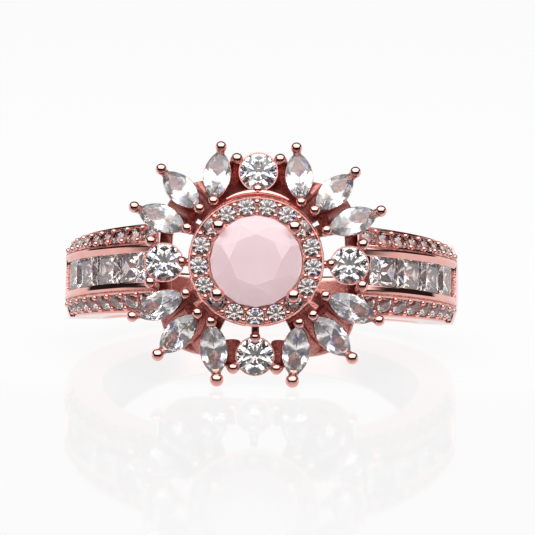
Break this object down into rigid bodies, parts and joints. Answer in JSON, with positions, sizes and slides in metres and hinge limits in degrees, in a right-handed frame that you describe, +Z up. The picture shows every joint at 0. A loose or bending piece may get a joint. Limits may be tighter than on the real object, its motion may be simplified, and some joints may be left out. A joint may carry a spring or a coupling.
{
  "type": "cocktail ring",
  "caption": "Sunburst cocktail ring: round pink stone in a stone-set halo, marquise petals and round accents, on a tapering band with channel-set and pave shoulders.",
  "frame": {"origin": "centre of the underside of the bounding box, on the table, with the ring lying back on its two lowest claws and the back of its band", "axes": "+Z up from the table, the head and its stones face -Y and a little upwards, +X across the head; the finger hole's axis leans back from +Z by about 14 degrees"},
  "size_m": [0.0218, 0.0242, 0.013],
  "materials": {
    "band_metal": "rose gold plate, high polish",
    "head_metal": "rose gold plate, high polish on claws and beads, as cast underneath",
    "clear_stone": "colourless cubic zirconia, facet cut and polished",
    "pink_stone": "milky pale pink quartz, facet cut and polished"
  },
  "bodies": {
    "root": {"band": "band_metal", "channel_stone_left_1": "clear_stone", "channel_stone_left_2": "clear_stone", "channel_stone_left_3": "clear_stone", "channel_stone_left_4": "clear_stone", "pave_row_left_upper": "clear_stone", "pave_row_left_lower": "clear_stone", "channel_stone_right_1": "clear_stone", "channel_stone_right_2": "clear_stone", "channel_stone_right_3": "clear_stone", "channel_stone_right_4": "clear_stone", "pave_row_right_upper": "clear_stone", "pave_row_right_lower": "clear_stone", "marquise_upper_left_upper": "clear_stone", "marquise_upper_left_middle": "clear_stone", "marquise_upper_left_side": "clear_stone", "marquise_upper_right_upper": "clear_stone", "marquise_upper_right_middle": "clear_stone", "marquise_upper_right_side": "clear_stone", "marquise_lower_left_upper": "clear_stone", "marquise_lower_left_middle": "clear_stone", "marquise_lower_left_side": "clear_stone", "marquise_lower_right_upper": "clear_stone", "marquise_lower_right_middle": "clear_stone", "marquise_lower_right_side": "clear_stone", "sunburst_gallery": "head_metal", "accent_collet_right": "head_metal", "accent_stone_right": "clear_stone", "accent_collet_top": "head_metal", "accent_stone_top": "clear_stone", "accent_collet_left": "head_metal", "accent_stone_left": "clear_stone", "accent_collet_bottom": "head_metal", "accent_stone_bottom": "clear_stone", "halo_stone_01": "clear_stone", "halo_stone_02": "clear_stone", "halo_stone_03": "clear_stone", "halo_stone_04": "clear_stone", "halo_stone_05": "clear_stone", "halo_stone_06": "clear_stone", "halo_stone_07": "clear_stone", "halo_stone_08": "clear_stone", "halo_stone_09": "clear_stone", "halo_stone_10": "clear_stone", "halo_stone_11": "clear_stone", "halo_stone_12": "clear_stone", "halo_stone_13": "clear_stone", "halo_stone_14": "clear_stone", "halo_stone_15": "clear_stone", "halo_stone_16": "clear_stone", "halo_stone_17": "clear_stone", "centre_stone": "pink_stone", "halo_setting": "head_metal"}
  },
  "joints": []
}
